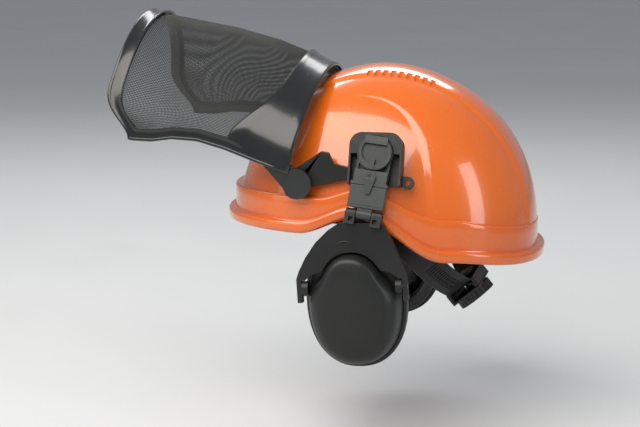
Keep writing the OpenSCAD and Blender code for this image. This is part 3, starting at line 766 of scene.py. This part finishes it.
def build_brow_seal():
    """The ribbed rubber strip under the frame's brow."""
    edge, steps = math.radians(62), 120
    section = ((10, 0.5), (14, 0.4), (18, 0.4), (22, 0.5), (22.6, 1.2), (21.5, 2.0), (19.8, 2.4), (18.2, 2.2),
               (16.5, 2.9), (14.8, 2.6), (13.2, 3.4), (11.5, 3.6), (10.2, 2.8), (9.6, 1.5))
    rings = [[visor_point(-edge + 2 * edge * i / steps, d, FRAME_T + t) for d, t in section]
             for i in range(steps + 1)]
    finish_piece(loft("brow_seal_strip", rings, 50), "visor", "seal_rubber", RUBBER, "brow_seal")


# ---------------------------------------------------------------- ear cups
def cup_loop(low, high, y, count):
    """A loop of the cup at depth y: inset by low on its lower half and by high at its top."""
    outline = oval(1, 1, CUP_POWER, count)
    insets = [low + (high - low) * ease(2, 34, CUP_HALF_H * z) for _, z in outline]
    return [((CUP_HALF_W - s) * x, -y, (CUP_HALF_H - s) * z) for s, (x, z) in zip(insets, outline)]


# The cup's section from the plateau to the rim and back inside, as (lower inset, upper inset, depth)
CUP_SECTION = (
    (39, 39, 32.9), (34, 34, 32.8), (27, 28, 32.4), (22.5, 24, 32.0), (20, 22, 31.4), (17.2, 19.8, 30.9),
    (14.6, 17.8, 30.2), (12.6, 16.8, 29.3), (11.2, 16.0, 28.2), (9.6, 15.4, 26.9), (7.6, 14.9, 24.9),
    (6.2, 14.5, 22.4), (5.3, 14.3, 19.6), (4.6, 14.1, 17), (4.1, 13.9, 14.4), (3.8, 13.7, 12.6),
    (3.65, 13.1, 11.9), (3.55, 11.5, 11.6), (3.5, 7.0, 11.4), (3.4, 5.0, 11.2), (3.3, 3.9, 10.7),
    (3.2, 3.4, 9.6), (3.0, 3.0, 8.2), (2.9, 2.9, 7.0), (2.3, 2.3, 6.5), (1.0, 1.0, 6.3), (0.4, 0.4, 5.9),
    (0, 0, 5.2), (0, 0, 3.0), (0, 0, 0.9), (0.35, 0.35, 0.3), (1, 1, 0), (3, 3, 0), (5.2, 5.2, 0),
    (5.5, 5.5, 0.4), (5.5, 5.5, 7), (5.9, 6.5, 8.4), (6.1, 15.4, 9.2), (6.6, 16.4, 14), (8.2, 17.6, 21),
    (11.6, 19.6, 25.5), (17.6, 22.6, 28), (34, 34, 29.5))


def build_cup(side):
    rings = [cup_loop(low, high, y, 160) for low, high, y in CUP_SECTION]
    shell = in_cup(loft(f"cup_shell_skin_{side}", rings, 60))
    bead_line = cup_loop(2.2, 2.2, 6.75, 160)
    bead = in_cup(tube(f"cup_rim_bead_{side}", bead_line, 0.45, 8, True, (0, 1, 0)))
    if side == "right":
        flip(shell)
        flip(bead)
    finish_piece(shell, f"cup_{side}", "black_plastic", CUP_BLACK, f"cup_shell_{side}")
    finish_piece(bead, f"cup_{side}", "black_plastic", BLACK)


def flip(obj):
    """Mirrors a piece across the helmet's mid-plane."""
    obj.data.transform(Matrix.Scale(-1, 4, Vector((0, 1, 0))))
    obj.data.flip_normals()
    return obj


CLOTH_FRAMES = 20


def simulate(obj, voxel, pressure, cap):
    """Inflates a padded piece with Blender's cloth, then smooths it; no point moves further than cap."""
    remesh = obj.modifiers.new("remesh", "REMESH")
    remesh.mode = "VOXEL"
    remesh.voxel_size = voxel
    remesh.use_smooth_shade = True
    bpy.context.view_layer.objects.active = obj
    bpy.ops.object.modifier_apply(modifier="remesh")
    rest = np.array([v.co for v in obj.data.vertices])
    cloth = obj.modifiers.new("cloth", "CLOTH")
    cloth.settings.quality = 6
    cloth.settings.mass = 0.2
    cloth.settings.use_pressure = True
    cloth.settings.uniform_pressure_force = pressure
    cloth.settings.tension_stiffness = 12
    cloth.settings.compression_stiffness = 12
    cloth.settings.shear_stiffness = 6
    cloth.settings.bending_stiffness = 0.4
    cloth.settings.effector_weights.gravity = 0
    cloth.point_cache.frame_start = 1
    cloth.point_cache.frame_end = CLOTH_FRAMES
    for number in range(1, CLOTH_FRAMES + 1):
        bpy.context.scene.frame_set(number)
    bpy.ops.object.modifier_apply(modifier="cloth")
    bpy.context.scene.frame_set(1)
    moved = np.array([v.co for v in obj.data.vertices]) - rest
    far = np.linalg.norm(moved, axis=1)
    moved *= np.minimum(1, cap / np.maximum(far, 1e-9))[:, None]
    obj.data.vertices.foreach_set("co", (rest + moved).astype(np.float32).ravel())
    smooth = obj.modifiers.new("smooth", "SMOOTH")
    smooth.factor = 0.5
    smooth.iterations = 2
    bpy.ops.object.modifier_apply(modifier="smooth")
    finer = obj.modifiers.new("finer", "SUBSURF")
    finer.levels = finer.render_levels = 1
    bpy.ops.object.modifier_apply(modifier="finer")
    obj.data.polygons.foreach_set("use_smooth", [True] * len(obj.data.polygons))
    return obj


def seal_cushion():
    """The cushion's ring: a rounded section that stands on the cup's plate."""
    middle = 8.0
    section = [(middle - 5.6 * squared(math.cos(t), 3), 9.2 + 5.4 * squared(math.sin(t), 3))
               for t in (2 * math.pi * k / 20 for k in range(20))]
    count = 120
    rings = []
    for i in range(count):
        u = 2 * math.pi * i / count
        rings.append([((CUP_HALF_W - s) * squared(math.cos(u), CUP_POWER), y,
                       (CUP_HALF_H - s) * squared(math.sin(u), CUP_POWER)) for s, y in section])
    ring = in_cup(loop_loft("seal_cushion_ring", rings))
    return simulate(ring, voxel=0.0036, pressure=4, cap=0.0028)


def wrinkle(obj, scale, depth):
    """Small soft dents, the same each run."""
    mesh = obj.data
    normals = [v.normal.copy() for v in mesh.vertices]
    for v, n in zip(mesh.vertices, normals):
        v.co += n * (noise.noise(v.co * scale) * depth)
    mesh.update()


def build_seals():
    left = seal_cushion()
    wrinkle(left, 95, 0.0005)
    seam_line = cup_loop(1.6, 1.6, -9.3, 160)
    seam = in_cup(tube("seal_seam_left", seam_line, 0.5, 8, True, (0, 1, 0)))
    left.name = "seal_cushion_pad_left"
    pads = ((left, seam, "left"),
            (mirrored(left, "seal_cushion_pad_right"), mirrored(seam, "seal_seam_right"), "right"))
    for pad, welt, side in pads:
        finish_piece(pad, f"cup_{side}", "seal_skin", SKIN, f"seal_cushion_{side}")
        finish_piece(welt, f"cup_{side}", "seal_skin", SKIN)


def build_liners():
    """The foam that lines the cups, with its pits and dents."""
    rings = [cup_loop(inset, inset, y, 72) for inset, y in ((21, 8.6), (19, 9.6), (19, 18.4), (21, 19.4))]
    left = simulate(in_cup(loft("foam_liner_pad_left", rings)), voxel=0.0045, pressure=3, cap=0.0014)
    wrinkle(left, 160, 0.0009)
    right = mirrored(left, "foam_liner_pad_right")
    for item, owner in ((left, "left"), (right, "right")):
        finish_piece(item, f"cup_{owner}", "pad_foam", FOAM, f"foam_liner_{owner}")


# ---------------------------------------------------------------- harness
HEADBAND_L, HEADBAND_W, HEADBAND_Z, BAND_H = 97, 75, 24, 26
STRAP_ANGLES, CLIP_TOP, STRAP_RISE, STRAP_STEP = (0, 62, 118), 40, 110, 2


def headband_reach(u):
    """Reach of the headband's inner face, an oval a little squarer than an ellipse."""
    power = 2.1
    x, y = abs(math.cos(u)) / HEADBAND_L, abs(math.sin(u)) / HEADBAND_W
    return (x**power + y**power) ** (-1 / power)


def inner_reach(u):
    """Reach of the shell's inner face where the crown straps start."""
    half = (DOME_BACK if math.cos(u) > 0 else DOME_FRONT) - WALL
    x, y = abs(math.cos(u)) / half, abs(math.sin(u)) / (DOME_SIDE - WALL)
    return (x**DOME_POWER + y**DOME_POWER) ** (-1 / DOME_POWER) * dome_taper(CLIP_TOP)


def strap_point(turn, along_strap, across, z):
    """A point of a crown strap that is turned round the head."""
    return (along_strap * math.cos(turn) - across * math.sin(turn),
            along_strap * math.sin(turn) + across * math.cos(turn), z)


def strap_stitches(turn, reach, foot, top):
    """Two rows of 14 stitches at both ends of a strap."""
    lift, length = 0.12, math.radians(0.5)
    stitches = []
    for across in (-7.6, 7.6):
        for half in (0, 1):
            for i in range(14):
                w = math.radians(3 + i * 1.5) if half == 0 else math.pi - math.radians(3 + i * 1.5)
                ends = [strap_point(turn, (reach[half] + lift) * math.cos(v), across,
                                    foot + (top - foot + lift) * math.sin(v)) for v in (w, w + length)]
                stitches.append(tube("stitch", ends, 0.22, 6))
    return stitches


def crown_strap(k):
    """A webbing arch over the head: 19 mm wide, 1.2 mm thick, with rounded selvedges."""
    name = ("front", "middle", "rear")[k]
    turn = math.radians(STRAP_ANGLES[k])
    reach = (inner_reach(turn) - 9, inner_reach(turn + math.pi) - 9)
    top = STRAP_RISE - k * STRAP_STEP
    foot = CLIP_TOP + 0.3
    section = ((-9.5, 0.6), (-9.1, 0.1), (-5, 0.0), (0, -0.05), (5, 0.0), (9.1, 0.1), (9.5, 0.6), (9.1, 1.1),
               (5, 1.2), (0, 1.15), (-5, 1.2), (-9.1, 1.1))
    rings = []
    for i in range(121):
        w = math.pi * i / 120
        side = reach[0] if i <= 60 else reach[1]
        rings.append([strap_point(turn, (side - inward) * math.cos(w), across,
                                  foot + (top - foot - inward) * math.sin(w)) for across, inward in section])
    strap = loft(f"crown_strap_web_{name}", rings, 60)
    finish_piece(strap, "helmet", "webbing", WEBBING, f"crown_strap_{name}")
    stitching = join(f"crown_strap_stitching_{name}", strap_stitches(turn, reach, foot, top))
    finish_piece(stitching, "helmet", "webbing", THREAD)


def build_sweatband():
    """A padded leather strip round the forehead, quilted into soft channels."""
    steps, channels = 150, 9
    section = []
    for k in range(28):
        t = 2 * math.pi * k / 28
        section.append((0.5 + 0.5 * squared(math.sin(t), 3.2), squared(math.cos(t), 2.6)))
    rings = []
    limit = math.radians(50.5)
    for i in range(steps + 1):
        u = math.pi - limit + 2 * limit * i / steps
        channel = 0.35 + 0.65 * abs(math.sin((u - math.pi) * channels * math.pi / (2 * limit))) ** 0.4
        end = min(1.0, (min(i, steps - i) + 1) / 7) ** 0.5
        base = headband_reach(u)
        ring = []
        for high, inward in section:
            depth = 1.5 + inward * 1.45 * channel * end
            r = base - depth
            z = HEADBAND_Z - 2 + (BAND_H + 4) * (0.5 + (high - 0.5) * end)
            ring.append((r * math.cos(u), r * math.sin(u), z))
        rings.append(ring)
    band = loft("sweatband_pad", rings, 60)
    wrinkle(band, 160, 0.0002)
    finish_piece(band, "helmet", "sweatband_leather", BROW_LEATHER, "sweatband")


def nape_point(w, out, up):
    """A point of the nape band: w round the head, out from its outer face, up across its width."""
    return ((NAPE_REACH + out) * math.cos(w), (NAPE_SIDE + out) * math.sin(w), up)


def build_nape_band(side, sign):
    """The strap from the headband down to the ratchet, with rolled edges and a row of ribs."""
    half = NAPE_W / 2
    section = ((-half, -0.9), (-half + 0.4, -0.15), (-half + 1.6, 0), (-half + 2.8, -0.45), (0, -0.5),
               (half - 2.8, -0.45), (half - 1.6, 0), (half - 0.4, -0.15), (half, -0.9), (half - 0.4, -1.65),
               (half - 1.5, -1.8), (0, -1.8), (-half + 1.5, -1.8), (-half + 0.4, -1.65))
    start, end = math.radians(-102), math.radians(-25)
    steps = 110
    rings = [[nape_point(start + (end - start) * i / steps, out, up) for up, out in section]
             for i in range(steps + 1)]
    band = in_nape(loft(f"nape_strap_{side}", rings, 50))
    ribs = []
    for i in range(16):
        w = math.radians(-62 + i * 2.1)
        ribs.append(tube("rib", [nape_point(w, -0.45, up) for up in (-5.5, -2, 2, 5.5)], 0.5, 8))
    row = in_nape(join(f"nape_strap_ribs_{side}", ribs))
    if sign < 0:
        flip(band)
        flip(row)
    finish_piece(band, "helmet", "harness_plastic", HARNESS, f"nape_band_{side}")
    finish_piece(row, "helmet", "harness_plastic", HARNESS)


def build_nape_pad():
    """The foam pad behind the ratchet case."""
    steps, limit = 44, math.radians(13.2)
    rings = []
    for i in range(steps + 1):
        w = -limit + 2 * limit * i / steps
        ring = []
        for k in range(24):
            t = 2 * math.pi * k / 24
            ring.append(nape_point(w, -10.6 + 1.6 * squared(math.sin(t), 3), 11 * squared(math.cos(t), 4)))
        rings.append(ring)
    pad = simulate(in_nape(loft("nape_pad_foam", rings)), voxel=0.0022, pressure=3, cap=0.0006)
    wrinkle(pad, 220, 0.0003)
    finish_piece(pad, "helmet", "pad_foam", FOAM, "nape_pad")


# ---------------------------------------------------------------- details on CAD parts
def arm_detail(piece, side, body, material):
    """Puts a detail on the left or the right arm."""
    in_arm(piece)
    if side == "right":
        flip(piece)
    finish_piece(piece, body, "arm_grey", material)


def build_arm_details(side):
    """The knob's rim and hollow, and the seam and height marks of the sliding arm."""
    cap_face, sleeve_face = -16.6, -15.35
    across = (0, 1, 0)
    turns = [math.radians(a) for a in range(0, 360, 6)]
    rim = [(12.9 * math.cos(t), cap_face + 0.1, 12.9 * math.sin(t)) for t in turns]
    arm_detail(tube(f"knob_rim_{side}", rim, 0.45, 8, True, across), side, f"arm_{side}", KNOB_GREY)
    hollow = [(10.4 * math.cos(t), cap_face + 1.9, 1 + 10.4 * math.sin(t)) for t in turns]
    hollow_ring = tube(f"knob_hollow_ring_{side}", hollow, 0.35, 8, True, across)
    arm_detail(hollow_ring, side, f"arm_{side}", KNOB_GREY)
    seam = [(x, sleeve_face, -41.6) for x in (-13.4, -6, 0, 6, 13.4)]
    arm_detail(tube(f"arm_seam_{side}", seam, 0.5, 8, False, across), side, f"slider_{side}", GREY)
    marks = []
    for k in range(3):
        line = [(x, sleeve_face, -29.5 - k * 3.2) for x in (-12.4, -11, -9.6)]
        marks.append(tube("mark", line, 0.32, 6, False, across))
    arm_detail(join(f"arm_height_marks_{side}", marks), side, f"slider_{side}", GREY)


def build_yoke_crescent(side):
    """The raised crescent on the yoke's neck."""
    arc = [(-3.5 - 6.5 * math.cos(t), -21.1, 47.4 + 3.0 * math.sin(t))
           for t in (math.pi * k / 20 for k in range(1, 20))]
    piece = in_cup(tube(f"yoke_crescent_{side}", arc, lambda s: 0.25 + 0.55 * math.sin(math.pi * s), 8,
                        False, (0, 1, 0)))
    if side == "right":
        flip(piece)
    finish_piece(piece, f"yoke_{side}", "yoke_black", YOKE_BLACK)


def dress_cad():
    """Materials and edge radii, in millimetres, of the CAD nodes that stay."""
    for node, material, bevel in (
            ("harness_clips", HARNESS, 0.8), ("headband", HARNESS, 0.4), ("ratchet_case", HARNESS, 0.6),
            ("ratchet_cover", HARNESS, 0.5), ("ratchet_rack_left", HARNESS, 0.15),
            ("ratchet_rack_right", HARNESS, 0.15), ("size_knob", KNURLED, 0.35),
            ("ratchet_pinion", KNURLED, 0.15)):
        dress(node, material, bevel)
    for side, _ in SIDES:
        for stem, material, bevel in (
                ("visor_ear", GLOSS, 0.5), ("visor_arm", BLACK, 0.8), ("visor_pin", STEEL, 0.3),
                ("bracket", BLACK, 1.0), ("knob_pin", STEEL, 0.3), ("arm_upper", GREY, 0.5),
                ("knob_cap", KNOB_GREY, 0.8), ("height_latch", KNOB_GREY, 0.4), ("arm_lower", GREY, 0.5),
                ("fold_pin", STEEL, 0.2), ("yoke", YOKE_BLACK, 0.7), ("cup_pins", STEEL, 0.2),
                ("cup_trunnions", BLACK, 0.4), ("cup_plate", BLACK, 0.4)):
            dress(f"{stem}_{side}", material, bevel)


# ---------------------------------------------------------------- floor, light and camera
def stage_paint():
    paint = Paint("studio_floor")
    paint.colour(paint.mix(paint.noise(3, 3), (0.60, 0.61, 0.62), (0.64, 0.65, 0.66)))
    paint.rough(paint.spread(paint.noise(8, 3), 0.3, 0.7, 0.55, 0.7))
    return paint.material


def build_stage():
    """A pale floor that runs far out of the picture."""
    reach, low = 9000, -150
    corners = [(x * reach, y * reach, low) for x, y in ((-1, -1), (1, -1), (1, 1), (-1, 1))]
    floor = new_object("studio_floor", corners, [(0, 1, 2, 3)])
    floor.data.materials.append(stage_paint())


def area_light(name, place, target, size, power, colour=(1, 1, 1)):
    data = bpy.data.lights.new(name, "AREA")
    data.shape = "RECTANGLE"
    data.size, data.size_y = size
    data.energy = power
    data.color = colour
    lamp = bpy.data.objects.new(name, data)
    lamp.location = place
    lamp.rotation_euler = (Vector(target) - Vector(place)).to_track_quat("-Z", "Y").to_euler()
    bpy.context.scene.collection.objects.link(lamp)


def build_light():
    middle = (0, 0, 0.05)
    area_light("key", (-0.55, -0.95, 1.35), middle, (2.2, 1.3), 42, (1, 0.96, 0.88))
    area_light("fill", (-1.7, -1.2, 0.5), middle, (1.2, 1.2), 4)
    area_light("rim", (1.4, -0.7, 0.5), middle, (0.4, 1.0), 5)
    area_light("back", (-0.3, 1.3, 1.3), middle, (1.6, 0.5), 12)
    world = bpy.data.worlds.new("studio")
    bpy.context.scene.world = world
    world.use_nodes = True
    background = world.node_tree.nodes["Background"]
    background.inputs["Color"].default_value = (0.80, 0.84, 0.90, 1)
    background.inputs["Strength"].default_value = 0.38
    bpy.context.scene.view_settings.view_transform = "Standard"


def build_camera():
    """The photo's view: 12 degrees round from the wearer's left side and 10 degrees up."""
    azimuth, elevation, distance = math.radians(12), math.radians(10), 1.5
    target = Vector((-0.0565, 0, 0.0187))
    back = Vector((math.sin(azimuth) * math.cos(elevation), -math.cos(azimuth) * math.cos(elevation),
                   math.sin(elevation)))
    data = bpy.data.cameras.new("camera")
    data.sensor_width = 36
    data.lens = 99.28
    camera = bpy.data.objects.new("camera", data)
    camera.location = target + back * distance
    camera.rotation_euler = (-back).to_track_quat("-Z", "Y").to_euler()
    bpy.context.scene.collection.objects.link(camera)
    bpy.context.scene.camera = camera


# ---------------------------------------------------------------- build
build_camera()
build_light()
build_stage()
dress_cad()
build_shell()
build_visor_frame()
build_visor_mesh()
build_brow_seal()
for owner, _ in SIDES:
    build_cup(owner)
    build_arm_details(owner)
    build_yoke_crescent(owner)
build_seals()
build_liners()
for strap_number in range(3):
    crown_strap(strap_number)
build_sweatband()
for owner, way in SIDES:
    build_nape_band(owner, way)
build_nape_pad()
